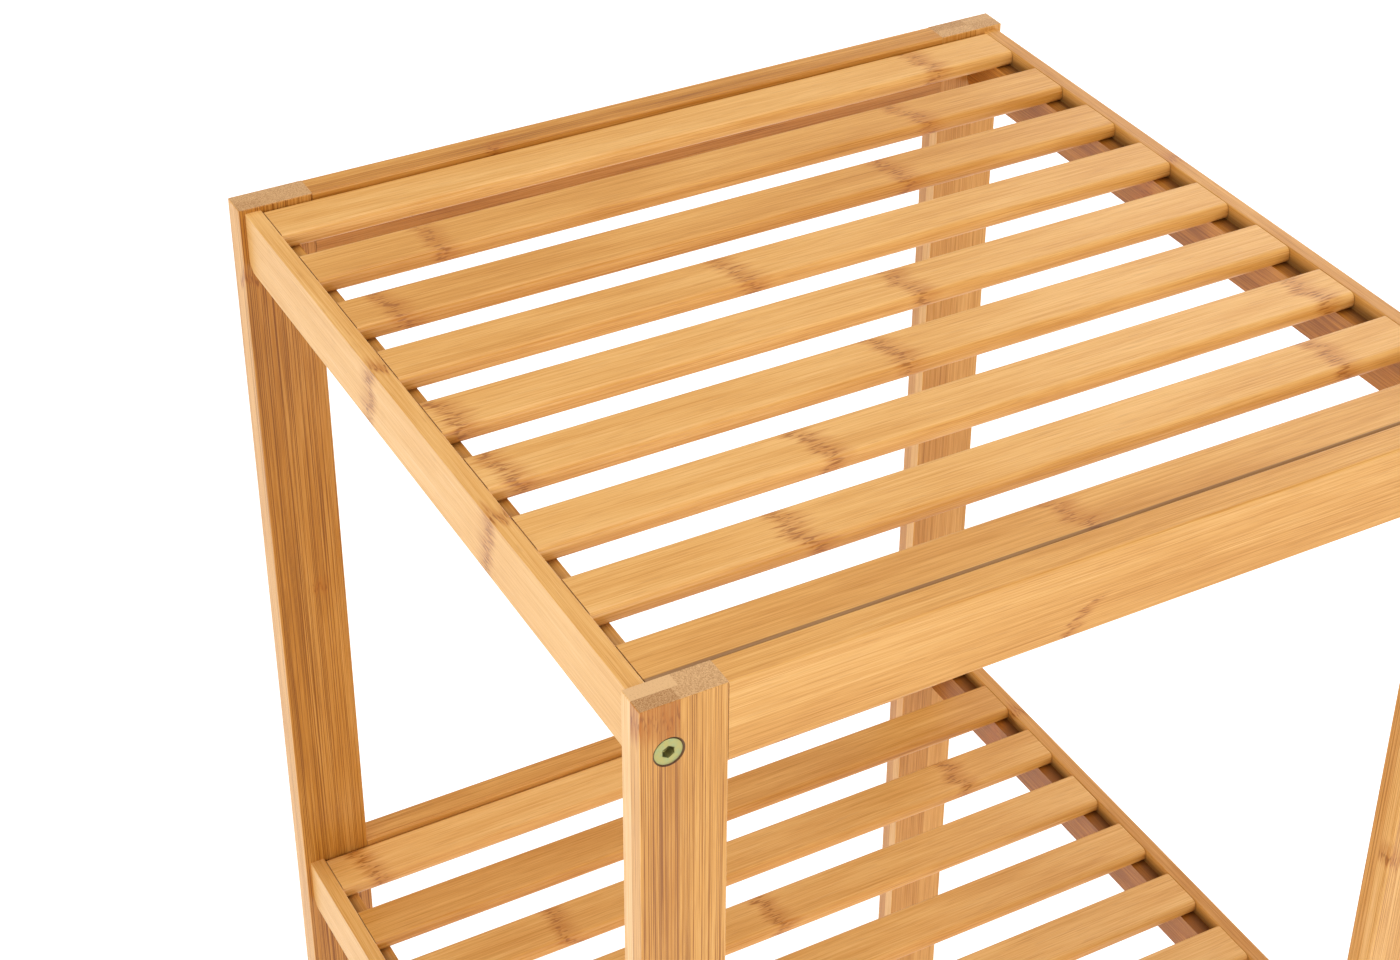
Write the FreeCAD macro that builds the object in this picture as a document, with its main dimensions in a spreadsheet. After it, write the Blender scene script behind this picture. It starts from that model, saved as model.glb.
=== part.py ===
"""A two-tier slatted bench in laminated bamboo, open below the lower tier.

Four flat posts, a front and a back apron on each tier, and two rabbeted side rails per
tier that carry nine loose-spaced slats. The side rails are drawn against the posts by
countersunk connector screws, the aprons are dowelled into the posts.

Frame: millimetres, +Z up, front towards -Y, left at -X, origin on the floor at the
middle of the footprint.
"""
import FreeCAD, Part
import os
import re
import Sketcher

SIZES = {
    # the whole bench
    "bench_length": 348,
    "bench_depth": 344,
    "bench_height": 570,
    "tier_spacing": 336,
    # posts and aprons, cut from the same board
    "post_width": 30,
    "board_thickness": 12,
    "apron_height": 30.5,
    "edge_round": 0.5,
    "apron_edge_round": 1,
    # side rails, an L in section
    "rail_inset": 2.5,
    "rail_drop": 1.8,
    "rail_height": 24.5,
    "rail_thickness": 13.5,
    "rail_wall": 6.5,
    "rail_end_round": 5,
    # slats
    "slat_count": 9,
    "slat_width": 22,
    "slat_thickness": 6.5,
    "slat_round": 2.4,
    "slat_end_gap": 0.2,
    "apron_gap": 0.5,
    # connector screws through the posts into the rail ends
    "screw_length": 50,
    "screw_shank": 6.3,
    "screw_head": 10,
    "screw_sink": 0.4,
    "screw_tip": 2,
    "screw_inset": 9.8,
    "screw_drop": 18.8,
    "hex_across_flats": 4,
    "hex_depth": 3,
    # dowels between aprons and posts
    "dowel_diameter": 6,
    "dowel_length": 28,
    "dowel_in_post": 12,
    "dowel_edge": 8,
    "dowel_bevel": 0.8,
    # nailed glides under the posts
    "glide_diameter": 10,
    "glide_height": 2.5,
    "glide_round": 0.8,
    "nail_diameter": 2.2,
    "nail_length": 14,
}

TIERS = {"upper": 0, "lower": 1}
LEFT = -1
RIGHT = 1

doc = FreeCAD.newDocument("SlattedBench")
sheet = doc.addObject("Spreadsheet::Sheet", "Sizes")
for row, (alias, value) in enumerate(SIZES.items(), start=1):
    sheet.set(f"A{row}", alias)
    sheet.set(f"B{row}", str(value))
    sheet.setAlias(f"B{row}", alias)
doc.recompute()


def formula(text):
    """Turn words such as post_width into references to the sheet's cells."""
    return re.sub(r"[a-z][a-z_]*", lambda word: "Sizes." + word.group(), str(text))


def number(text):
    return float(sheet.evalExpression(formula(text)))


# Heights that several pieces share, as formulas on the sheet.
POST_LENGTH = "bench_height - glide_height"
POST_X = "(bench_length - post_width) / 2"
POST_Y = "(bench_depth - board_thickness) / 2"


def tier_top(tier):
    """Height of the post and apron tops at a tier; the lower one lies a spacing below."""
    return f"bench_height - {TIERS[tier]} * tier_spacing"


# --------------------------------------------------------------------------- sketching
def new_body(label, x, y, z, turn=0):
    """A body whose local origin stands at (x, y, z), turned about the vertical."""
    body = doc.addObject("PartDesign::Body", label)
    body.Label = label
    for axis, place in zip("xyz", (x, y, z)):
        body.setExpression("Placement.Base." + axis, formula(place))
    body.Placement.Rotation = FreeCAD.Rotation(FreeCAD.Vector(0, 0, 1), turn)
    return body


def new_sketch(body, name, plane, offset="0"):
    """A sketch on one of the body's own origin planes, moved along its normal."""
    sketch = body.newObject("Sketcher::SketchObject", name)
    support = next(f for f in body.Origin.OriginFeatures if f.Role == plane + "_Plane")
    sketch.AttachmentSupport = [(support, "")]
    sketch.MapMode = "FlatFace"
    sketch.setExpression("AttachmentOffset.Base.z", formula(offset))
    return sketch


def dimension(sketch, kind, geometry, size):
    """Add a dimension that follows a formula."""
    index = sketch.addConstraint(Sketcher.Constraint(kind, *geometry, number(size)))
    name = f"size_{index}"
    sketch.renameConstraint(index, name)
    sketch.setExpression("Constraints." + name, formula(size))


def locate(sketch, geometry, point, x, y):
    """Dimension a point from the sketch's origin."""
    dimension(sketch, "DistanceX", (-1, 1, geometry, point), x)
    dimension(sketch, "DistanceY", (-1, 1, geometry, point), y)


def outline(sketch, corners):
    """A closed outline of straight lines through corners, each an (x, y) of formulas."""
    points = [FreeCAD.Vector(number(x), number(y), 0) for x, y in corners]
    count = len(points)
    for index in range(count):
        sketch.addGeometry(Part.LineSegment(points[index], points[(index + 1) % count]))
    for index, (x, y) in enumerate(corners):
        sketch.addConstraint(Sketcher.Constraint("Coincident", index, 2, (index + 1) % count, 1))
        locate(sketch, index, 1, x, y)


def circle(sketch, x, y, diameter):
    centre = FreeCAD.Vector(number(x), number(y), 0)
    ring = Part.Circle(centre, FreeCAD.Vector(0, 0, 1), number(diameter) / 2)
    index = sketch.addGeometry(ring)
    locate(sketch, index, 3, x, y)
    dimension(sketch, "Diameter", (index,), diameter)


def box_corners(width, height):
    """The corners of a rectangle about the sketch's origin."""
    right, top = f"({width}) / 2", f"({height}) / 2"
    return [(f"-{right}", f"-{top}"), (right, f"-{top}"), (right, top), (f"-{right}", top)]


# ---------------------------------------------------------------------------- features
def pad(body, sketch, length, midplane=False):
    feature = body.newObject("PartDesign::Pad", sketch.Name + "_pad")
    feature.Profile = sketch
    feature.Midplane = midplane
    feature.setExpression("Length", formula(length))
    sketch.Visibility = False
    doc.recompute()
    return feature


def pocket(body, sketch, depth, reverse=False):
    """Cut a sketch into the body, and stop if it cuts nothing."""
    before = body.Shape.Volume
    feature = body.newObject("PartDesign::Pocket", sketch.Name + "_pocket")
    feature.Profile = sketch
    feature.Reversed = reverse
    feature.setExpression("Length", formula(depth))
    doc.recompute()
    if body.Shape.Volume > before - 1:
        raise RuntimeError(f"{body.Label}: {sketch.Name} cuts nothing")
    return feature


def countersunk_hole(body, sketch, reverse=False):
    """Drill the connector screw's hole through a post, with its 90 degree countersink."""
    before = body.Shape.Volume
    hole = body.newObject("PartDesign::Hole", sketch.Name + "_hole")
    hole.Profile = sketch
    doc.recompute()
    hole.Reversed = reverse
    hole.ThreadType = "None"
    hole.setExpression("Diameter", formula("screw_shank"))
    hole.DepthType = "ThroughAll"
    hole.HoleCutType = "Countersink"
    hole.HoleCutCustomValues = True
    hole.setExpression("HoleCutDiameter", formula("screw_head + 2 * screw_sink"))
    hole.HoleCutCountersinkAngle = 90
    doc.recompute()
    if body.Shape.Volume > before - 1:
        raise RuntimeError(f"{body.Label}: {sketch.Name} drills nothing")
    return hole


def long_edges(shape, axis, keep=lambda middle: True):
    """Names of the straight edges along an axis whose middle passes the test."""
    names = []
    for index, edge in enumerate(shape.Edges, start=1):
        if edge.Curve.TypeId != "Part::GeomLine":
            continue
        direction = edge.tangentAt(edge.FirstParameter)
        middle = edge.valueAt((edge.FirstParameter + edge.LastParameter) / 2)
        if abs(abs(direction.dot(axis)) - 1) < 1e-6 and keep(middle):
            names.append(f"Edge{index}")
    return names


def round_edges(body, base, names, radius):
    feature = body.newObject("PartDesign::Fillet", "eased_edges")
    feature.Base = (base, names)
    feature.setExpression("Radius", formula(radius))
    doc.recompute()
    return feature


X_AXIS = FreeCAD.Vector(1, 0, 0)
Y_AXIS = FreeCAD.Vector(0, 1, 0)
Z_AXIS = FreeCAD.Vector(0, 0, 1)


# ------------------------------------------------------------------------------ pieces
def make_post(label, x, y, outer_side, turn):
    """A flat post, eased along its length and round its top, but not where the apron starts.

    In its own frame the screws enter from the front, at -Y.
    """
    body = new_body(label, x, y, "glide_height", turn)
    section = new_sketch(body, "section", "XY")
    outline(section, box_corners("post_width", "board_thickness"))
    board = pad(body, section, POST_LENGTH)
    top = number(POST_LENGTH)
    eased = long_edges(board.Shape, Z_AXIS)
    eased += long_edges(board.Shape, X_AXIS, lambda middle: middle.z > top - 1)
    eased += long_edges(board.Shape, Y_AXIS,
                        lambda middle: middle.z > top - 1 and middle.x * outer_side > 0)
    round_edges(body, board, eased, "edge_round")

    screw_x = f"{outer_side} * (post_width / 2 - screw_inset)"
    screws = new_sketch(body, "screw_places", "XZ", "board_thickness / 2")
    for tier in TIERS:
        circle(screws, screw_x, f"{tier_top(tier)} - glide_height - screw_drop", "screw_shank")
    countersunk_hole(body, screws)

    inner_face = f"-1 * {outer_side} * post_width / 2"
    dowels = new_sketch(body, "dowel_places", "YZ", inner_face)
    for tier in TIERS:
        apron_top = f"{tier_top(tier)} - glide_height"
        circle(dowels, "0", f"{apron_top} - dowel_edge", "dowel_diameter")
        circle(dowels, "0", f"{apron_top} - apron_height + dowel_edge", "dowel_diameter")
    pocket(body, dowels, "dowel_in_post", reverse=outer_side == RIGHT)

    nail = new_sketch(body, "nail_place", "XY")
    circle(nail, "0", "0", "nail_diameter")
    pocket(body, nail, "nail_length", reverse=True)
    return body


def make_apron(label, y, tier):
    """A rail along X between two posts, flush with their outer faces and tops."""
    body = new_body(label, "0", y, f"{tier_top(tier)} - apron_height / 2")
    section = new_sketch(body, "section", "YZ")
    outline(section, box_corners("board_thickness", "apron_height"))
    length = "bench_length - 2 * post_width"
    board = pad(body, section, length, midplane=True)
    round_edges(body, board, long_edges(board.Shape, X_AXIS), "apron_edge_round")
    for end, reverse in ((LEFT, True), (RIGHT, False)):
        name = "left_dowel_places" if end == LEFT else "right_dowel_places"
        dowels = new_sketch(body, name, "YZ", f"{end} * ({length}) / 2")
        for side in (-1, 1):
            circle(dowels, "0", f"{side} * (apron_height / 2 - dowel_edge)", "dowel_diameter")
        pocket(body, dowels, "dowel_length - dowel_in_post", reverse=reverse)
    return body


def make_side_rail(label, side, tier):
    """A rail along Y with a rabbet on its inner top edge; its wall faces outwards."""
    x = f"{side} * (bench_length / 2 - rail_inset - rail_thickness / 2)"
    body = new_body(label, x, "0", f"{tier_top(tier)} - rail_drop", 0 if side == LEFT else 180)
    wall_x = "rail_wall - rail_thickness / 2"
    outer_x = "rail_thickness / 2"
    section = new_sketch(body, "section", "XZ")
    outline(section, [
        (f"-{outer_x}", "0"),
        (f"-{outer_x}", "-1 * rail_height"),
        (outer_x, "-1 * rail_height"),
        (outer_x, "-1 * slat_thickness"),
        (wall_x, "-1 * slat_thickness"),
        (wall_x, "0"),
    ])
    length = "bench_depth - 2 * board_thickness"
    bar = pad(body, section, length, midplane=True)

    bottom = -number("rail_height")
    ends = long_edges(bar.Shape, X_AXIS, lambda middle: abs(middle.z - bottom) < 0.1)
    rounded = round_edges(body, bar, ends, "rail_end_round")
    tops = long_edges(rounded.Shape, Y_AXIS, lambda middle: abs(middle.z) < 0.1)
    round_edges(body, rounded, tops, "edge_round")

    screw_x = "screw_inset - rail_inset - rail_thickness / 2"
    grip = "screw_length + screw_sink - board_thickness"
    for end, reverse in ((-1, False), (1, True)):
        name = "front_screw_place" if end < 0 else "back_screw_place"
        hole = new_sketch(body, name, "XZ", f"{-end} * ({length}) / 2")
        circle(hole, screw_x, "rail_drop - screw_drop", "screw_shank")
        pocket(body, hole, grip, reverse=reverse)
    return body


def make_slat(label, tier, index):
    """One slat along X, its four long edges rounded; index 0 lies beside the back apron."""
    span = "(bench_depth - 2 * board_thickness - 2 * apron_gap - slat_width)"
    y = f"{span} / 2 - {index} * {span} / (slat_count - 1)"
    z = f"{tier_top(tier)} - rail_drop - slat_thickness / 2"
    body = new_body(label, "0", y, z)
    section = new_sketch(body, "section", "YZ")
    outline(section, box_corners("slat_width", "slat_thickness"))
    length = "bench_length - 2 * rail_inset - 2 * rail_wall - 2 * slat_end_gap"
    board = pad(body, section, length, midplane=True)
    round_edges(body, board, long_edges(board.Shape, X_AXIS), "slat_round")
    return body


def make_screw_blank():
    """One connector screw along +Y, with its head's face at the origin."""
    head, shank = number("screw_head") / 2, number("screw_shank") / 2
    length, tip = number("screw_length"), number("screw_tip")
    profile = Part.makePolygon([
        FreeCAD.Vector(0, 0, 0),
        FreeCAD.Vector(head, 0, 0),
        FreeCAD.Vector(shank, head - shank, 0),
        FreeCAD.Vector(shank, length - tip, 0),
        FreeCAD.Vector(shank - tip / 2, length, 0),
        FreeCAD.Vector(0, length, 0),
        FreeCAD.Vector(0, 0, 0),
    ])
    body = Part.Face(profile).revolve(FreeCAD.Vector(), Y_AXIS, 360)
    corner = number("hex_across_flats") / 3 ** 0.5
    ring = [FreeCAD.Rotation(Y_AXIS, 60 * step).multVec(FreeCAD.Vector(0, 0, corner))
            for step in range(7)]
    depth = FreeCAD.Vector(0, number("hex_depth"), 0)
    socket = Part.Face(Part.makePolygon(ring)).extrude(depth)
    return body.cut(socket)


def make_screws(label, tier):
    """The four connector screws of a tier, as one group of separate solids."""
    blank = make_screw_blank()
    x = number("bench_length / 2 - screw_inset")
    y = number("bench_depth / 2 - screw_sink")
    z = number(f"{tier_top(tier)} - screw_drop")
    screws = []
    for side_x in (LEFT, RIGHT):
        for side_y, turn in ((-1, 0), (1, 180)):
            screw = blank.copy()
            spot = FreeCAD.Vector(side_x * x, side_y * y, z)
            screw.Placement = FreeCAD.Placement(spot, FreeCAD.Rotation(Z_AXIS, turn))
            screws.append(screw)
    return make_group(label, screws)


def make_dowels(label, tier):
    """The eight dowels of a tier, as one group of separate solids."""
    radius, length = number("dowel_diameter / 2"), number("dowel_length")
    blank = Part.makeCylinder(radius, length, FreeCAD.Vector(), X_AXIS)
    rims = [edge for edge in blank.Edges if edge.Curve.TypeId == "Part::GeomCircle"]
    blank = blank.makeChamfer(number("dowel_bevel"), rims)
    y = number(POST_Y)
    left_end = number("post_width - dowel_in_post - bench_length / 2")
    top = number(tier_top(tier))
    heights = (top - number("dowel_edge"), top - number("apron_height - dowel_edge"))
    dowels = []
    for start_x in (left_end, -left_end - length):
        for side_y in (-1, 1):
            for z in heights:
                dowel = blank.copy()
                dowel.Placement.Base = FreeCAD.Vector(start_x, side_y * y, z)
                dowels.append(dowel)
    return make_group(label, dowels)


def make_group(label, solids):
    group = doc.addObject("Part::Feature", label)
    group.Label = label
    group.Shape = Part.makeCompound(solids)
    return group


def make_glide(label, x, y):
    """A round nailed glide: a pad with a rounded lower edge, and its nail in the post."""
    body = new_body(label, x, y, "0")
    base = new_sketch(body, "base", "XY")
    circle(base, "0", "0", "glide_diameter")
    disc = pad(body, base, "glide_height")
    rim = [f"Edge{i}" for i, e in enumerate(disc.Shape.Edges, start=1)
           if e.Curve.TypeId == "Part::GeomCircle" and abs(e.CenterOfMass.z) < 1e-6]
    round_edges(body, disc, rim, "glide_round")
    nail = new_sketch(body, "nail", "XY", "glide_height")
    circle(nail, "0", "0", "nail_diameter")
    pad(body, nail, "nail_length")
    return body


# ---------------------------------------------------------------------------- assembly
CORNERS = {
    "front_left": (LEFT, -1, LEFT, 0),
    "front_right": (RIGHT, -1, RIGHT, 0),
    "back_left": (LEFT, 1, RIGHT, 180),
    "back_right": (RIGHT, 1, LEFT, 180),
}

pieces = []
for corner, (side_x, side_y, outer_side, turn) in CORNERS.items():
    corner_x = f"{side_x} * {POST_X}"
    corner_y = f"{side_y} * {POST_Y}"
    pieces.append(make_post(corner + "_post", corner_x, corner_y, outer_side, turn))
    pieces.append(make_glide(corner + "_glide", corner_x, corner_y))

for tier in TIERS:
    pieces.append(make_apron(tier + "_front_apron", f"-1 * {POST_Y}", tier))
    pieces.append(make_apron(tier + "_back_apron", POST_Y, tier))
    pieces.append(make_side_rail(tier + "_left_rail", LEFT, tier))
    pieces.append(make_side_rail(tier + "_right_rail", RIGHT, tier))
    for index in range(SIZES["slat_count"]):
        pieces.append(make_slat(f"{tier}_slat_{index + 1}", tier, index))
    pieces.append(make_screws(tier + "_rail_screws", tier))
    pieces.append(make_dowels(tier + "_apron_dowels", tier))

# ------------------------------------------------------------------ checks and export
doc.recompute()
for obj in doc.Objects:
    if "Invalid" in obj.State or "Error" in obj.State:
        raise RuntimeError(f"{obj.Label} failed: {obj.State}")

os.makedirs("parts", exist_ok=True)
for piece in pieces:
    if piece.Shape.isNull() or not piece.Shape.isValid():
        raise RuntimeError(f"{piece.Label} has no valid shape")
    piece.Shape.exportStep(f"parts/{piece.Label}.step")
    box = piece.Shape.BoundBox
    print(f"{piece.Label:24s} solids {len(piece.Shape.Solids)}"
          f"  z {box.ZMin:8.2f} to {box.ZMax:8.2f}  volume {piece.Shape.Volume:10.1f}")
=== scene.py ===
# %% [markdown]
# # A slatted bamboo bench
#
# The bench is a small rack of laminated bamboo: four flat posts, an apron across the front
# and the back of each tier, two rabbeted side rails per tier, and nine slats lying in their
# rabbets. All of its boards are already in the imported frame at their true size, so this
# lesson is mostly about one material, bamboo, told well: strips, fibres, knuckles and end
# grain. The connector screws are modelled anew, because their heads are the one bright
# detail on the bench.

# %% Load the frame
import math
import bpy
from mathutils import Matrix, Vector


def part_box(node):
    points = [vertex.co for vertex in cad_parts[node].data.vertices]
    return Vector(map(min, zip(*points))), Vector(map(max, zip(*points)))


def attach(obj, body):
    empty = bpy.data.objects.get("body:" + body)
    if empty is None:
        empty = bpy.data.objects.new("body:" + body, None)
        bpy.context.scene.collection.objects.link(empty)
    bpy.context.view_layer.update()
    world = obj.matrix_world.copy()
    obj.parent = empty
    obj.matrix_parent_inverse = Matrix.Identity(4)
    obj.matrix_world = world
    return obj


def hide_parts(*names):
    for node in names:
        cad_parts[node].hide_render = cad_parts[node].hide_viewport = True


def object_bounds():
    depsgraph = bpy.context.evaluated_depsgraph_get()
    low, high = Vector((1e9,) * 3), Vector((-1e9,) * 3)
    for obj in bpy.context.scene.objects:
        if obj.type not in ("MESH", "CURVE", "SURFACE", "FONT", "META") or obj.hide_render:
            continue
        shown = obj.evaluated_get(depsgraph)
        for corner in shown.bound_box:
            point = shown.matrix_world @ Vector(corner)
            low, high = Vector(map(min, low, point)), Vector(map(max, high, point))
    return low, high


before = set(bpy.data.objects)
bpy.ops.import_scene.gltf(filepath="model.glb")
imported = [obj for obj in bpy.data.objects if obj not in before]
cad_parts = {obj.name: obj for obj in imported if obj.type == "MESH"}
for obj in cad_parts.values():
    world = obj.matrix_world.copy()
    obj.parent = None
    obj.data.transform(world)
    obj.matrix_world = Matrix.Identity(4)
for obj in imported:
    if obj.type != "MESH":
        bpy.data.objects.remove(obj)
cad_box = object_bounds()
LOW, HIGH = cad_box
print("bench", [round(high - low, 4) for low, high in zip(LOW, HIGH)], "m")

# %% [markdown]
# The picture is read with the plain Standard transform, so that a colour picked for a board
# comes back as that colour under white light. Colours below are written as they look on a
# screen, from 0 to 255, and `tone` turns them into the linear values that the shader wants.

# %% Colours as they look
bpy.context.scene.view_settings.view_transform = "Standard"


def tone(red, green, blue):
    """A screen colour as a linear RGBA colour."""
    linear = [((level / 255 + 0.055) / 1.055) ** 2.4 for level in (red, green, blue)]
    return (*linear, 1.0)


print("honey", [round(level, 3) for level in tone(220, 170, 105)])

# %% [markdown]
# The camera looks down over the front left corner, close enough that the far right corner
# and the feet fall outside the picture. It stands at a heading and a pitch, like a tripod
# head, and is rolled by a third of a degree. The small shift raises the boards in the frame
# without tipping the camera further.

# %% Camera
CAMERA_EYE = (-0.4481, -0.7106, 1.0839)
CAMERA_HEADING = 28.60
CAMERA_PITCH = 33.36
CAMERA_ROLL = 0.30
CAMERA_LENS = 69.6
CAMERA_SHIFT = -0.0714

bpy.ops.object.camera_add(location=CAMERA_EYE)
camera = bpy.context.object
camera.name = "camera"
camera.rotation_euler = (math.radians(90 - CAMERA_PITCH), 0, math.radians(-CAMERA_HEADING))
camera.rotation_euler.rotate_axis("Z", math.radians(CAMERA_ROLL))
camera.data.lens = CAMERA_LENS
camera.data.shift_y = CAMERA_SHIFT
bpy.context.scene.camera = camera
print("camera", [round(value, 3) for value in camera.location])

# %% [markdown]
# Soft studio light. An even sky does part of the work, as a white tent does in a studio, and
# a brighter backdrop takes its place where the camera looks past the floor. Large softboxes
# do the rest. The ones on the left and in front make the faces turned to them paler than the
# tops, one above lights the slats, and a weaker one behind on the right opens up the shade.

# %% Light
WHITE = (1.0, 1.0, 1.0, 1.0)
SKY_STRENGTH = 0.50
BACKDROP_STRENGTH = 1.0
BELOW_SEAT = (0, 0, 0.42)
LOWER_DOWN = (0, 0, 0.32)

world = bpy.data.worlds.new("studio_tent")
bpy.context.scene.world = world
world.use_nodes = True
sky = world.node_tree.nodes["Background"]
sky.inputs["Color"].default_value = WHITE
sky.inputs["Strength"].default_value = SKY_STRENGTH
backdrop = world.node_tree.nodes.new("ShaderNodeBackground")
backdrop.inputs["Color"].default_value = WHITE
backdrop.inputs["Strength"].default_value = BACKDROP_STRENGTH
seen = world.node_tree.nodes.new("ShaderNodeLightPath")
either = world.node_tree.nodes.new("ShaderNodeMixShader")
join = world.node_tree.links.new
join(seen.outputs["Is Camera Ray"], either.inputs["Fac"])
join(sky.outputs["Background"], either.inputs[1])
join(backdrop.outputs["Background"], either.inputs[2])
join(either.outputs["Shader"], world.node_tree.nodes["World Output"].inputs["Surface"])


def softbox(name, place, target, size, power):
    """A square area light that faces a point."""
    bpy.ops.object.light_add(type="AREA", location=place)
    lamp = bpy.context.object
    lamp.name = name
    lamp.data.size = size
    lamp.data.energy = power
    aim = [there - here for here, there in zip(place, target)]
    heading = math.atan2(aim[0], aim[1])
    pitch = math.atan2(aim[2], math.hypot(aim[0], aim[1]))
    lamp.rotation_euler = (math.radians(90) + pitch, 0, -heading)


softbox("left_softbox", (-2.2, -0.6, 1.62), BELOW_SEAT, 1.6, 27)
softbox("front_softbox", (0.5, -2.4, 1.42), BELOW_SEAT, 1.4, 25)
softbox("top_softbox", (0.3, 0.4, 2.72), BELOW_SEAT, 1.8, 23)
softbox("right_softbox", (2.0, 1.3, 1.12), LOWER_DOWN, 1.6, 19)

# %% [markdown]
# Shaders are easier to read as sums than as webs of boxes. `Signal` wraps one socket of a
# material, and its operators add the Math nodes. Every other node comes from `node`, which
# takes the node's type, its settings, and what goes into its sockets.

# %% Shader maths
class Signal:
    """A socket of a node tree that can be used in sums."""

    def __init__(self, tree, socket):
        self.tree = tree
        self.socket = socket

    def node(self, kind, settings, inputs, output=0):
        """Add a node, set it up, feed it, and return one of its outputs."""
        made = self.tree.nodes.new(kind)
        for name, value in settings.items():
            if name == "stops":
                set_stops(made.color_ramp, value)
            else:
                setattr(made, name, value)
        for name, value in inputs.items():
            if isinstance(value, Signal):
                self.tree.links.new(value.socket, made.inputs[name])
            else:
                made.inputs[name].default_value = value
        return Signal(self.tree, made.outputs[output])

    def math(self, operation, *values):
        return self.node("ShaderNodeMath", {"operation": operation}, dict(enumerate(values)))

    def __add__(self, other):
        return self.math("ADD", self, other)

    def __radd__(self, other):
        return self.math("ADD", other, self)

    def __sub__(self, other):
        return self.math("SUBTRACT", self, other)

    def __rsub__(self, other):
        return self.math("SUBTRACT", other, self)

    def __mul__(self, other):
        return self.math("MULTIPLY", self, other)

    def __rmul__(self, other):
        return self.math("MULTIPLY", other, self)

    def __truediv__(self, other):
        return self.math("DIVIDE", self, other)

    def __gt__(self, other):
        return self.math("GREATER_THAN", self, other)

    def __abs__(self):
        return self.math("ABSOLUTE", self)

    def least(self, other):
        return self.math("MINIMUM", self, other)

    def root(self):
        return self.math("SQRT", self)

    def fade(self, start, end):
        """1 where the value is at start, easing to 0 at end, whichever is larger."""
        settings = {"interpolation_type": "SMOOTHSTEP"}
        return self.node("ShaderNodeMapRange", settings,
                         {"Value": self, "From Min": end, "From Max": start})

    def blend(self, low, high):
        """A colour: low where this value is 0, high where it is 1."""
        settings = {"data_type": "RGBA"}
        return self.node("ShaderNodeMix", settings, {0: self, 6: low, 7: high}, 2)


def set_stops(ramp, stops):
    """Give a colour ramp its (position, colour) stops."""
    while len(ramp.elements) < len(stops):
        ramp.elements.new(1.0)
    for element, (position, colour) in zip(ramp.elements, stops):
        element.position = position
        element.color = colour


print("Signal ready")

# %% [markdown]
# ## Bamboo
#
# A bamboo board is glued up from strips that were split out of the wall of the cane, so it
# has four kinds of detail. Fibres run dead straight along each strip, as hair-fine lines
# over broader streaks. Strips differ in tone and meet in a thin glue line. Every 20 cm or so
# the cane had a joint, which crosses a strip as a brown, fuzzy knuckle with short dark
# dashes. On the sawn end the same fibres show as specks. All of it is one solid pattern in
# the board's own millimetres, stretched along the grain, so the faces of a board agree at
# their edges.

# %% A board's own directions
AXES = {"X": 0, "Y": 1, "Z": 2}
MM = 1000.0


def new_material(name):
    """An empty material: its shader, and a Signal to build from."""
    material = bpy.data.materials.new(name)
    material.use_nodes = True
    tree = material.node_tree
    shader = tree.nodes["Principled BSDF"]
    coordinates = tree.nodes.new("ShaderNodeTexCoord")
    return material, shader, Signal(tree, coordinates.outputs["Object"])


def board_millimetres(place, node, axes):
    """The place in a board, from its centre: along the grain, across it, and through it."""
    low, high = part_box(node)
    centre = [(a + b) / 2 for a, b in zip(low, high)]
    offset = place.node("ShaderNodeVectorMath", {"operation": "SUBTRACT"}, {0: place, 1: centre})
    scaled = offset.node("ShaderNodeVectorMath", {"operation": "SCALE"}, {0: offset, "Scale": MM})
    return [scaled.node("ShaderNodeSeparateXYZ", {}, {0: scaled}, AXES[axis]) for axis in axes]


def grain_noise(along, across, through, lengths, seed, detail=2.0):
    """Noise whose grains are as long, in millimetres, as lengths says each way."""
    vector = along.node("ShaderNodeCombineXYZ", {}, {
        0: along / lengths[0] + seed,
        1: across / lengths[1] + 2 * seed,
        2: through / lengths[1],
    })
    return along.node("ShaderNodeTexNoise", {}, {"Vector": vector, "Scale": 1.0, "Detail": detail})


print("board axes ready")

# %% [markdown]
# Two layers of strips make a board. `splits` says where the joint between two strips runs in
# each layer, so the joints are staggered like bricks. `pick` returns a number of the strip
# that a point lies in, and one number per strip is enough for its tone, its blush and its
# own noise.

# %% Strips
def strips(across, through, splits):
    """Which strip a point lies in, and how near its glue lines are, in millimetres."""
    back = through > 0
    split = splits[0] + (splits[1] - splits[0]) * back
    right = across > split

    def pick(values):
        front = values[0] + (values[1] - values[0]) * right
        rear = values[2] + (values[3] - values[2]) * right
        return front + (rear - front) * back

    glue = abs(across - split).least(abs(through))
    return pick, glue


print("strips ready")

# %% [markdown]
# A knuckle crosses its strip at a slight lean. Each bundle of fibres bends there at its own
# height, so the crossing is ragged: two wobbles, a fine and a broad one, shift it along the
# grain. A rosy brown stain spreads `reach` millimetres from the crossing, further on one side
# than on the other and in streaks, and short dark dashes mark the crossing itself. Where only
# the root of a side branch was cut, the knuckle is a small round one with a `middle`.

# %% Knuckles
KNUCKLE_BROWN = tone(174, 102, 22)
DASH_BROWN = tone(134, 70, 0)
RAGGED = 9.0
BENT = 8.0
# How long a grain of each noise is, along the board and across it, in millimetres.
RAGGED_GRAIN = (60, 1.1)
BENT_GRAIN = (60, 7.0)
STREAKY_GRAIN = (11, 0.8)
BROKEN_GRAIN = (3.4, 0.6)


def knuckle(place, lean=0.2, strip=None, reach=6.5, middle=None, strength=0.72):
    """One knuckle of a board: where it is along the grain, and what it looks like."""
    return {"place": place, "lean": lean, "strip": strip, "reach": reach, "middle": middle,
            "strength": strength}


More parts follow.
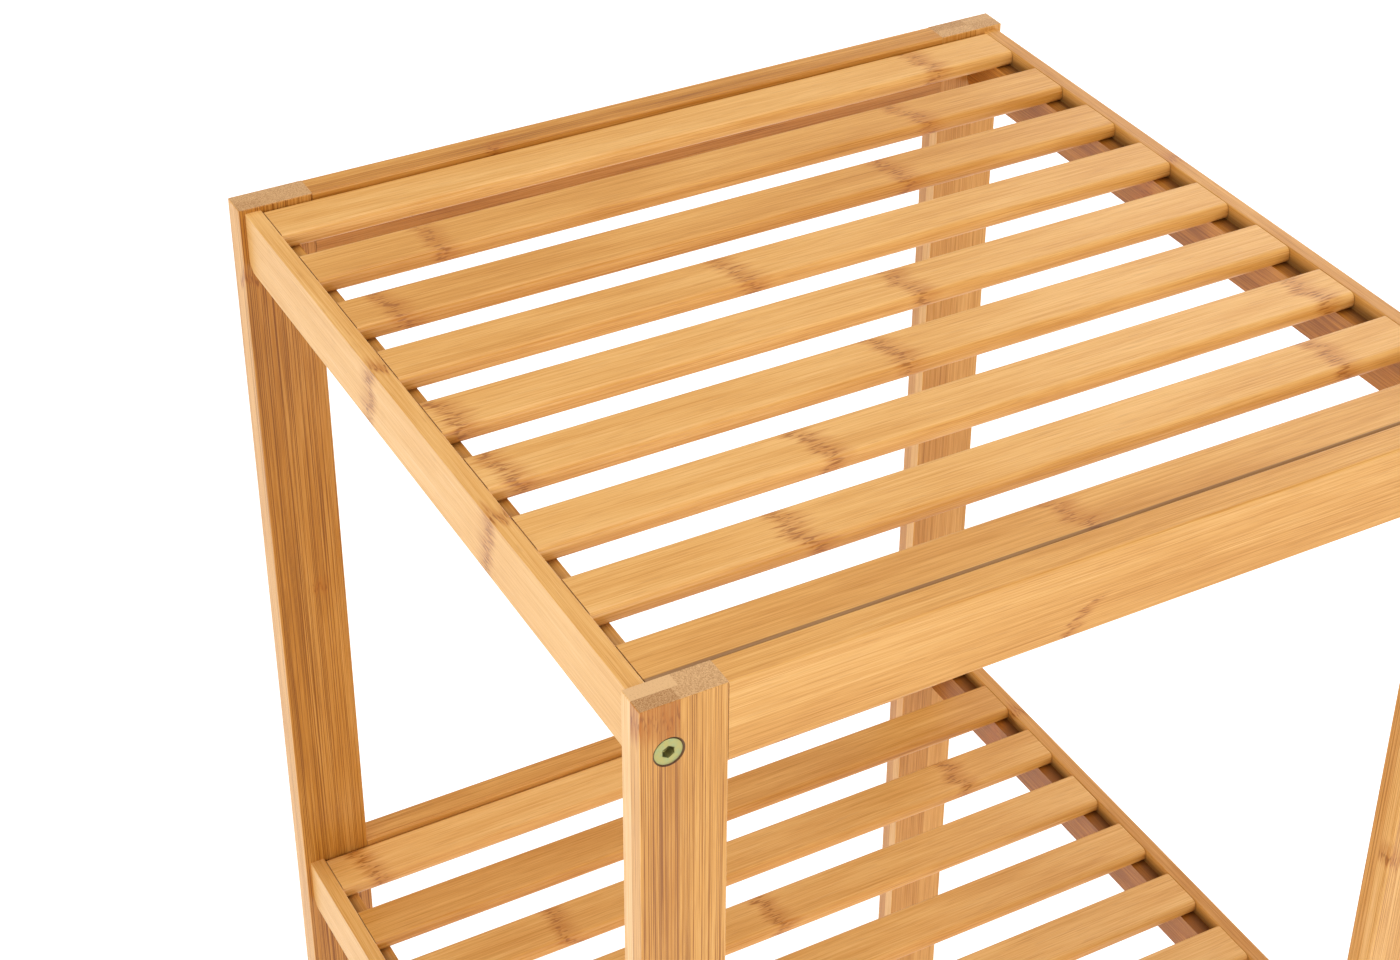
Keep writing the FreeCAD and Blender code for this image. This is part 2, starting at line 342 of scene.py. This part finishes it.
def knuckled(colour, board, own, pick, knuckles):
    """Lay knuckles over a colour."""
    along, across, through = board
    ragged = grain_noise(along, across, through, RAGGED_GRAIN, own + 8.3, 0.0) - 0.5
    bent = grain_noise(along, across, through, BENT_GRAIN, own + 3.3, 0.0) - 0.5
    wobble = RAGGED * ragged + BENT * bent
    streaky = grain_noise(along, across, through, STREAKY_GRAIN, own + 9.2)
    broken = grain_noise(along, across, through, BROKEN_GRAIN, own + 7.7, 0.0)
    for spot in knuckles:
        reach = spot["reach"]
        past = along - spot["place"] + spot["lean"] * across + wobble
        here = past.fade(0.2 * reach, 1.6 * reach) * past.fade(-0.2 * reach, -0.9 * reach)
        if spot["strip"] is not None:
            here = here * pick([1 if index == spot["strip"] else 0 for index in range(4)])
        if spot["middle"] is not None:
            here = here * abs(across - spot["middle"]).fade(0.5 * reach, reach)
        stain = spot["strength"] * here * (0.45 + 0.55 * streaky.fade(0.62, 0.42))
        colour = stain.blend(colour, KNUCKLE_BROWN)
        dash = 0.62 * here * abs(past).fade(0.8, 3.4) * broken.fade(0.61, 0.50)
        colour = dash.blend(colour, DASH_BROWN)
    return colour


print("knuckles ready")

# %% [markdown]
# The material adds the details up into one value, from pale to deep, and one ramp colours
# it. Three noises make it: hair-fine fibres, broader streaks, and slow clouds. `lines` adds
# the dark pinstripes that show where a strip's edge was planed through its fibre bundles, and
# `edges` makes a board's narrow faces paler or deeper than its wide ones, in front and behind.
# The end grain replaces everything where the surface faces along the grain. Where a hole, a
# rabbet's corner or a joint lies in shade, the bamboo is darkened there with painted shade.
# The lacquer is a thin satin coat.

# %% The bamboo material
HONEY = [
    (0.00, tone(240, 198, 146)),
    (0.30, tone(228, 178, 108)),
    (0.55, tone(210, 152, 75)),
    (0.78, tone(186, 122, 40)),
    (1.00, tone(140, 82, 18)),
]
BLUSH = tone(198, 138, 92)
END_PALE = tone(212, 168, 116)
END_DEEP = tone(150, 100, 46)
# The dark brown of the painted shade in corners, bores and joints.
NOOK_SHADE_BROWN = tone(72, 40, 12)
# How long a grain of each noise is, along the board and across it, in millimetres.
FIBRE_GRAIN = (20, 0.30)
STREAK_GRAIN = (45, 1.0)
CLOUD_GRAIN = (80, 9)
PINSTRIPE_GRAIN = (140, 0.32)
FLECK_GRAIN = (9, 0.34)
SPECK_GRAIN = (400, 0.42)
FIBRE_RELIEF = 0.00025


def bamboo(node, axes, seed, tones, knuckles, splits=(0, 0), blush=(0, 0, 0, 0), lines=0.08,
           edges=(0, 0), ends=None, shaded_nooks=()):
    """A bamboo material for one board. axes are the directions along, across and through."""
    material, shader, place = new_material("bamboo_" + node)
    board = board_millimetres(place, node, axes)
    along, across, through = board
    pick, glue = strips(across, through, splits)
    own = pick([seed, seed + 5.3, seed + 11.9, seed + 17.1])
    facing = place.node("ShaderNodeTexCoord", {}, {}, "Normal")
    along_face, across_face = [
        abs(facing.node("ShaderNodeSeparateXYZ", {}, {0: facing}, AXES[axis])) for axis in axes[:2]
    ]

    fibre = grain_noise(along, across, through, FIBRE_GRAIN, own)
    streak = grain_noise(along, across, through, STREAK_GRAIN, own + 2.7, 1.0)
    cloud = grain_noise(along, across, through, CLOUD_GRAIN, own + 4.1, 1.0)
    value = pick(tones) + 0.38 * (fibre - 0.5) + 0.28 * (streak - 0.5) + 0.32 * (cloud - 0.5)
    pinstripe = grain_noise(along, across, through, PINSTRIPE_GRAIN, own + 6.9, 1.0)
    value = value + lines * pinstripe.fade(0.60, 0.54)
    value = value + 0.08 * glue.fade(0.05, 0.22)
    front_edge, back_edge = edges
    side = across_face.fade(0.85, 0.45)
    value = value + side * pick([front_edge, front_edge, back_edge, back_edge])
    colour = value.node("ShaderNodeValToRGB", {"stops": HONEY}, {"Fac": value})
    colour = pick(blush).blend(colour, BLUSH)
    fleck = grain_noise(along, across, through, FLECK_GRAIN, own + 6.5, 0.0)
    colour = (0.14 * fleck.fade(0.74, 0.62)).blend(colour, DASH_BROWN)
    colour = knuckled(colour, board, own, pick, knuckles)

    end = along_face > 0.8
    specks = grain_noise(along, across, through, SPECK_GRAIN, own + 1.5, 1.0)
    end_value = 1.4 * (pick(ends or tones) - 0.25) + 1.7 * (specks - 0.5)
    colour = end.blend(colour, end_value.blend(END_PALE, END_DEEP))
    # Painted shade: each of these blends the colour towards dark brown near its corner or bore.
    for sides, centre, near, far, strength in shaded_nooks:
        away = [board[side] - middle for side, middle in zip(sides, centre)]
        distance = (away[0] * away[0] + away[1] * away[1]).root()
        colour = (strength * distance.fade(near, far)).blend(colour, NOOK_SHADE_BROWN)

    material.node_tree.links.new(colour.socket, shader.inputs["Base Color"])
    rough = 0.36 + 0.16 * fibre + 0.18 * end
    material.node_tree.links.new(rough.socket, shader.inputs["Roughness"])
    bump = {"Strength": 0.22, "Distance": FIBRE_RELIEF, "Height": fibre}
    relief = fibre.node("ShaderNodeBump", {}, bump)
    material.node_tree.links.new(relief.socket, shader.inputs["Normal"])
    shader.inputs["Coat Weight"].default_value = 0.12
    shader.inputs["Coat Roughness"].default_value = 0.22
    shader.inputs["Specular IOR Level"].default_value = 0.34
    return material


def dress(node, material):
    """Give a CAD node its finish."""
    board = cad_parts[node]
    board.data.materials.clear()
    board.data.materials.append(material)


print("bamboo ready")

# %% [markdown]
# ## The floor
#
# A white floor, a little uneven, that glows from below like a light table, so that
# the shadow of the bench on it stays soft and pale.

# %% Floor
FLOOR_SIZE = 12
FLOOR_GLOW = 0.60
FLOOR_LOW = (0.68, 0.68, 0.68, 1.0)
FLOOR_HIGH = (0.72, 0.72, 0.72, 1.0)

bpy.ops.object.select_all(action="DESELECT")
bpy.ops.mesh.primitive_plane_add(size=FLOOR_SIZE, location=(0, 0, 0))
floor = bpy.context.object
floor.name = "floor"

material, shader, place = new_material("white_floor")
mottle = place.node("ShaderNodeTexNoise", {}, {"Vector": place, "Scale": 3.0, "Detail": 2.0})
white = mottle.blend(FLOOR_LOW, FLOOR_HIGH)
material.node_tree.links.new(white.socket, shader.inputs["Base Color"])
shader.inputs["Roughness"].default_value = 0.7
shader.inputs["Specular IOR Level"].default_value = 0.2
shader.inputs["Emission Color"].default_value = WHITE
shader.inputs["Emission Strength"].default_value = FLOOR_GLOW
floor.data.materials.append(material)
print("floor", FLOOR_SIZE, "m")

# %% [markdown]
# ## The slats
#
# Each slat is one strip wide, so its top has no glue line, and its knuckles run right across
# it. Their places are uneven, as the cane's joints fell. Its long edges are a little deeper,
# as painted shade from the neighbouring slats. Along the front slat, a thin brown line of
# painted shadow lies just behind the apron's edge.

# %% Slats
SLAT_TONES = {
    "upper": (0.46, 0.58, 0.60, 0.50, 0.48, 0.48, 0.46, 0.48, 0.60),
    "lower": (0.43, 0.62, 0.52, 0.46, 0.50, 0.46, 0.42, 0.48, 0.46),
}
SLAT_KNUCKLES = {
    "upper": ((125,), (-116, 96), (-149, 64), (-27,), (-160, 23), (-156, -6), (-59, 150),
              (-88, 130), (-5,)),
    "lower": ((-150, 60), (0,), (-90, 115), (-5,), (-70,), (-110,), (-120, 60), (0, 150),
              (-60,)),
}
SLAT_SEEDS = {"upper": 0, "lower": 40}
# A split this far out lies beyond the board, which leaves it one strip wide.
ONE_STRIP = (40, 40)
# Painted shade: the slats' long narrow faces are a little deeper, because the neighbouring slats
# shade them.
SLAT_EDGE_SHADE = (0.07, 0.07)
slat_low, slat_high = [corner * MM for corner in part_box("upper_slat_9")]
slat_width, slat_thickness = (slat_high - slat_low)[1:]
# Painted shadow: a thin dark line on the front slat, just behind the apron's edge.
FRONT_JOINT_SHADOW = ((1, 2), (-slat_width / 2, slat_thickness / 2), 2.3, 2.8, 0.6)

for tier, tones in SLAT_TONES.items():
    for index, shade in enumerate(tones):
        node = f"{tier}_slat_{index + 1}"
        seed = 3.7 * index + SLAT_SEEDS[tier]
        knuckles = [knuckle(spot) for spot in SLAT_KNUCKLES[tier][index]]
        shaded_nooks = [FRONT_JOINT_SHADOW] if index == 8 else []
        material = bamboo(node, "XYZ", seed, [shade] * 4, knuckles, ONE_STRIP, edges=SLAT_EDGE_SHADE,
                          shaded_nooks=shaded_nooks)
        dress(node, material)
print("slats dressed:", sum(len(tones) for tones in SLAT_TONES.values()))

# %% [markdown]
# ## Posts, aprons and side rails
#
# The posts show two strips on their wide face and both layers on their narrow one, one cream
# and one rosy, and they have the strongest pinstripes. Each has two countersunk bores for the
# connector screws, whose places follow from the screws in the frame; painted shade darkens
# the mouth of each bore. The aprons are cut from the same board, laid on its edge, and the
# inner face of the upper back apron is deeper, as painted shade. The left side rails are the
# palest pieces, and the right ones are deeper on the half that looks inwards, as painted shade
# under the slats.

# %% Where the screws go
CAD_HEAD_RADIUS = 0.005


def screw_places(tier):
    """The screws of one tier: (name, x, y of the head's face, z)."""
    low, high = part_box(tier + "_rail_screws")
    level = (low[2] + high[2]) / 2
    columns = {"left": low[0] + CAD_HEAD_RADIUS, "right": high[0] - CAD_HEAD_RADIUS}
    rows = {"front": low[1], "back": high[1]}
    return [(f"{row}_{column}", columns[column], rows[row], level)
            for row in rows for column in columns]


SCREWS = {tier: screw_places(tier) for tier in ("upper", "lower")}
print("screws", SCREWS["upper"][0])

# %% Posts
# Painted shade: the countersunk mouth round each screw head is darkened, standing in for the
# shadow in the gap.
BORE_SHADE = (5.38, 5.5, 0.92)


def bores(corner):
    """The painted shade of a post: a dark mouth to each of its two screw bores, in its own
    millimetres.
    """
    low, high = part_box(corner + "_post")
    found = []
    for places in SCREWS.values():
        for name, x, y, z in places:
            if name == corner:
                centre = ((z - (low[2] + high[2]) / 2) * MM, (x - (low[0] + high[0]) / 2) * MM)
                found.append(((0, 1), centre, *BORE_SHADE))
    return found


# Strips are listed as front left, front right, back left, back right; front is through < 0.
POST_LINES = 0.34
POSTS = {
    "front_left": {
        "tones": (0.69, 0.57, 0.20, 0.45), "blush": (0.05, 0, 0, 0.2), "splits": (-1.5, 1.0),
        "ends": (0.74, 0.52, 0.20, 0.50), "edges": (-0.22, -0.04),
        "knuckles": [knuckle(276, 0.1, 0, 12.0, strength=1.0), knuckle(20, 0.2, 1)],
    },
    "front_right": {
        "tones": (0.50, 0.62, 0.50, 0.30), "blush": (0, 0, 0.1, 0), "splits": (-3.0, 1.0),
        "ends": (0.35, 0.5, 0.2, 0.4), "edges": (-0.2, 0),
        "knuckles": [knuckle(80, 0.2, 0)],
    },
    "back_left": {
        "tones": (0.76, 0.71, 0.36, 0.45), "blush": (0, 0, 0.1, 0), "splits": (-5.0, 1.0),
        "ends": (0.64, 0.55, 0.54, 0.55), "edges": (-0.30, 0.06),
        "knuckles": [knuckle(95, 0.0, None, 4.6, 4.0), knuckle(250, 0.1, 0, 4.0)],
    },
    "back_right": {
        "tones": (0.66, 0.58, 0.60, 0.45), "blush": (0, 0, 0.25, 0), "splits": (2.0, 1.0),
        "ends": (0.5, 0.6, 0.66, 0.5), "edges": (-0.38, 0),
        "knuckles": [knuckle(-30, 0.2, 0)], "lines": 0.14,
    },
}

for index, (corner, finish) in enumerate(POSTS.items()):
    node = corner + "_post"
    finish = {"lines": POST_LINES, **finish}
    material = bamboo(node, "ZXY", 61 + 6.1 * index, shaded_nooks=bores(corner), **finish)
    dress(node, material)
print("posts dressed:", len(POSTS))

# %% Aprons
APRONS = {
    "upper_front": ((0.57, 0.49, 0.50, 0.50), (0, 0, 0, 0), [knuckle(-7, -1.0, 0, 4.0)]),
    # Painted shade: the front layer of the upper back apron is deeper, because that face looks in
    # under the slats and lies in shadow.
    "upper_back": ((0.74, 0.72, 0.62, 0.60), (0, 0, 0, 0), [knuckle(-63, 0.2, 1)]),
    "lower_front": ((0.46, 0.54, 0.46, 0.50), (0, 0, 0, 0), [knuckle(-40, 0.3, 1)]),
    "lower_back": ((0.58, 0.60, 0.58, 0.60), (0, 0, 0, 0), [knuckle(70, 0.2, 0)]),
}
APRON_SPLITS = (-2.7, 3.0)
APRON_LINES = 0.12
APRON_EDGES = (0.07, 0.07)

for index, (name, (tones, blush, knuckles)) in enumerate(APRONS.items()):
    node = name + "_apron"
    material = bamboo(node, "XZY", 91 + 4.9 * index, tones, knuckles, APRON_SPLITS, blush,
                      APRON_LINES, APRON_EDGES)
    dress(node, material)
print("aprons dressed:", len(APRONS))

# %% [markdown]
# The rail's rabbet is where the slats are glued down. Its corner is darkened with painted
# shade, where the slats shade it. The corner's place follows from the slats, whose
# ends and undersides lie along it.

# %% Side rails
RABBET_SHADE = (0.5, 6.0, 0.7)


def rabbet(tier, side):
    """The painted shade of a rail: the corner under the slats' ends, in the rail's own
    millimetres.
    """
    low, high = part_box(f"{tier}_{side}_rail")
    slat_low, slat_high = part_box(tier + "_slat_5")
    wall = slat_low[0] if side == "left" else slat_high[0]
    corner = ((slat_low[2] - (low[2] + high[2]) / 2) * MM, (wall - (low[0] + high[0]) / 2) * MM)
    return [((1, 2), corner, *RABBET_SHADE)]


# Painted shade: the first tone of each right rail, on its inward half, is deep because that face
# lies in shadow under the slats.
RAILS = {
    "upper_left": ((0.34, 0.34, 0.50, 0.46), [knuckle(39), knuckle(-60)]),
    "upper_right": ((0.84, 0.60, 0.56, 0.54), [knuckle(30)]),
    "lower_left": ((0.34, 0.34, 0.45, 0.45), [knuckle(-20)]),
    "lower_right": ((0.92, 0.64, 0.60, 0.58), [knuckle(100)]),
}
RAIL_EDGE = 0.12

for index, (name, (tones, knuckles)) in enumerate(RAILS.items()):
    node = name + "_rail"
    material = bamboo(node, "YZX", 121 + 5.7 * index, tones, knuckles, ONE_STRIP,
                      edges=(RAIL_EDGE, RAIL_EDGE), shaded_nooks=rabbet(*name.split("_")))
    dress(node, material)
print("rails dressed:", len(RAILS))

# %% [markdown]
# ## Dowels and glides
#
# Two beech dowels hold each end of each apron. They are sealed inside the joint, but a part
# that is taken apart should still show beech: pale, pinkish, with short dark flecks along the
# grain. The glides are brown nylon, moulded with a faint grain so that scuffs don't show.

# %% Dowels
BEECH_PALE = tone(222, 182, 140)
BEECH_FLECK = tone(168, 112, 72)

for tier in ("upper", "lower"):
    node = tier + "_apron_dowels"
    material, shader, place = new_material("beech_" + tier)
    along, across, through = board_millimetres(place, node, "XYZ")
    pore = grain_noise(along, across, through, (6, 0.25), 3.0)
    fleck = grain_noise(along, across, through, (1.6, 0.35), 8.0, 0.0)
    amount = 0.5 * pore + 0.6 * fleck.fade(0.72, 0.58)
    beech = amount.blend(BEECH_PALE, BEECH_FLECK)
    material.node_tree.links.new(beech.socket, shader.inputs["Base Color"])
    relief = pore.node("ShaderNodeBump", {}, {"Strength": 0.3, "Distance": 0.0002, "Height": pore})
    material.node_tree.links.new(relief.socket, shader.inputs["Normal"])
    shader.inputs["Roughness"].default_value = 0.72
    dress(node, material)
print("dowels dressed in beech")

# %% Glides
NYLON_BROWN = tone(74, 52, 36)
NYLON_SCUFF = tone(112, 88, 68)

material, shader, place = new_material("nylon_glide")
grain = place.node("ShaderNodeTexNoise", {}, {"Vector": place, "Scale": 4200.0, "Detail": 2.0})
height = place.node("ShaderNodeSeparateXYZ", {}, {0: place}, "Z")
scuffed = (height * MM).fade(0.3, 1.4) * grain.fade(0.62, 0.45)
nylon = scuffed.blend(NYLON_BROWN, NYLON_SCUFF)
material.node_tree.links.new(nylon.socket, shader.inputs["Base Color"])
relief = grain.node("ShaderNodeBump", {}, {"Strength": 0.35, "Distance": 0.0001, "Height": grain})
material.node_tree.links.new(relief.socket, shader.inputs["Normal"])
shader.inputs["Roughness"].default_value = 0.55
for corner in POSTS:
    dress(corner + "_glide", material)
print("glides dressed:", len(POSTS))

# %% [markdown]
# ## Connector screws
#
# A connector screw holds each end of each side rail. It has a countersunk head with a flat
# face and a hexagon socket. The plain CAD screw could keep its shape and only be plated, but
# its head is the one bright detail of the bench, so it is modelled anew: a disc at the tip is
# extruded up the shank and out into the head, ring by ring, as a lathe would turn it. Then a
# hexagonal punch is driven in.

# %% Screw sizes
TIP_RADIUS = 0.00215
SCREW_LENGTH = 0.050
SHANK_RADIUS = 0.00315
HEAD_RADIUS = 0.00495
FACE_RADIUS = 0.00472
# Each ring: how far below the head's face it lies, and its radius.
RINGS = [(0.0480, SHANK_RADIUS), (0.00185, SHANK_RADIUS), (0.00018, HEAD_RADIUS),
         (0.0, FACE_RADIUS)]
RIM_BEVEL = 0.00014
HEX_RADIUS = 0.004 / math.sqrt(3)
HEX_DEPTH = 0.003
print("screw", SCREW_LENGTH * MM, "mm long, head", 2 * HEAD_RADIUS * MM, "mm")

# %% Screw blank
bpy.ops.object.select_all(action="DESELECT")
bpy.ops.mesh.primitive_circle_add(vertices=48, radius=TIP_RADIUS, fill_type="NGON",
                                  location=(0, 0, -SCREW_LENGTH))
screw = bpy.context.object
screw.name = "screw_pattern"
bpy.ops.object.transform_apply(location=True, rotation=True, scale=True)
bpy.ops.object.mode_set(mode="EDIT")
bpy.ops.mesh.select_all(action="SELECT")
below, radius = SCREW_LENGTH, TIP_RADIUS
for next_below, next_radius in RINGS:
    bpy.ops.mesh.extrude_region_move(TRANSFORM_OT_translate={"value": (0, 0, below - next_below)})
    grow = next_radius / radius
    bpy.ops.transform.resize(value=(grow, grow, 1), center_override=(0, 0, -next_below))
    below, radius = next_below, next_radius
bpy.ops.mesh.select_all(action="SELECT")
bpy.ops.mesh.normals_make_consistent(inside=False)
bpy.ops.object.mode_set(mode="OBJECT")
blank_size = [round(side * MM, 2) for side in screw.dimensions]
print("blank", len(screw.data.polygons), "faces", blank_size)

# %% [markdown]
# The punch is a six-sided prism, and a Boolean modifier takes it out of the head. The rims of
# the head and of the socket are then bevelled very slightly, because a plated edge is never
# sharp, and that thin bevel is what catches the light.

# %% Socket
bpy.ops.object.select_all(action="DESELECT")
bpy.ops.mesh.primitive_cylinder_add(vertices=6, radius=HEX_RADIUS, depth=2 * HEX_DEPTH)
punch = bpy.context.object
bpy.ops.object.select_all(action="DESELECT")
screw.select_set(True)
bpy.context.view_layer.objects.active = screw
socket = screw.modifiers.new("socket", "BOOLEAN")
socket.operation = "DIFFERENCE"
socket.solver = "EXACT"
socket.object = punch
bpy.ops.object.modifier_apply(modifier="socket")
bpy.data.objects.remove(punch)
rim = screw.modifiers.new("rim", "BEVEL")
rim.width = RIM_BEVEL
rim.segments = 2
rim.limit_method = "ANGLE"
rim.angle_limit = math.radians(25)
bpy.ops.object.modifier_apply(modifier="rim")
bpy.ops.object.shade_smooth_by_angle(angle=math.radians(30))
print("screw pattern", len(screw.data.polygons), "faces")

# %% [markdown]
# The plating is yellow passivated zinc. It is a thin film, so it drifts between yellow and
# green, and the turned face keeps faint rings from the lathe. Deep in the hexagon socket the
# colour darkens towards olive, as painted shade. One trick finds the middle of every head at
# once: the eight heads are mirror images, so the distance is measured from the bench's own
# middle planes.

# %% Yellow zinc
ZINC_YELLOW = tone(174, 166, 102)
ZINC_GREEN = tone(162, 167, 114)
SOCKET_SHADE_OLIVE = tone(92, 74, 40)
SOCKET_EDGE = (2.2, 2.5)
SOCKET_DEPTH = (1.2, 0.05)

upper_z = SCREWS["upper"][0][3] * MM
lower_z = SCREWS["lower"][0][3] * MM
aside = abs(SCREWS["upper"][0][1]) * MM
face = abs(SCREWS["upper"][0][2]) * MM

zinc, shader, place = new_material("yellow_zinc")
x, y, z = [place.node("ShaderNodeSeparateXYZ", {}, {0: place}, axis) * MM for axis in "XYZ"]
off_x = abs(x) - aside
off_z = abs(z - (upper_z + lower_z) / 2) - (upper_z - lower_z) / 2
radius = (off_x * off_x + off_z * off_z).root()
depth = face - abs(y)
drift = place.node("ShaderNodeTexNoise", {}, {"Vector": place, "Scale": 420.0, "Detail": 3.0})
plating = drift.fade(0.62, 0.38).blend(ZINC_YELLOW, ZINC_GREEN)
# Painted shade: inside the socket the colour darkens towards olive with depth.
inside = radius.fade(*SOCKET_EDGE) * depth.fade(*SOCKET_DEPTH)
plating = (0.50 * inside).blend(plating, SOCKET_SHADE_OLIVE)
zinc.node_tree.links.new(plating.socket, shader.inputs["Base Color"])
rings = radius.node("ShaderNodeTexNoise", {"noise_dimensions": "1D"}, {"W": radius, "Scale": 7.0})
rough = 0.30 + 0.14 * drift + 0.08 * rings
zinc.node_tree.links.new(rough.socket, shader.inputs["Roughness"])
relief = rings.node("ShaderNodeBump", {}, {"Strength": 0.25, "Distance": 0.00005, "Height": rings})
zinc.node_tree.links.new(relief.socket, shader.inputs["Normal"])
shader.inputs["Metallic"].default_value = 0.75
print("zinc ready")

# %% [markdown]
# The pattern is copied to the eight rail ends. Each copy is turned about its own axis by a
# different amount, as a key leaves it, and hangs a little low in its bore, so that a dark gap
# shows above the head.

# %% Screws in place
SAG = 0.00034
KEY_TURN = 41

made = 0
for tier, places in SCREWS.items():
    for name, x, y, z in places:
        bpy.ops.object.select_all(action="DESELECT")
        screw.select_set(True)
        bpy.context.view_layer.objects.active = screw
        bpy.ops.object.duplicate(linked=False)
        copy = bpy.context.object
        copy.name = f"{tier}_{name}_screw"
        copy.data.name = copy.name
        copy.rotation_mode = "ZYX"
        outwards = 90 if y < 0 else -90
        copy.rotation_euler = (math.radians(outwards), 0, math.radians(KEY_TURN * made))
        copy.location = (x, y, z - SAG)
        bpy.ops.object.transform_apply(location=True, rotation=True, scale=True)
        copy.data.materials.append(zinc)
        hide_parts(tier + "_rail_screws")
        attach(copy, "root")
        made += 1
bpy.data.objects.remove(screw)
print("screws placed:", made)
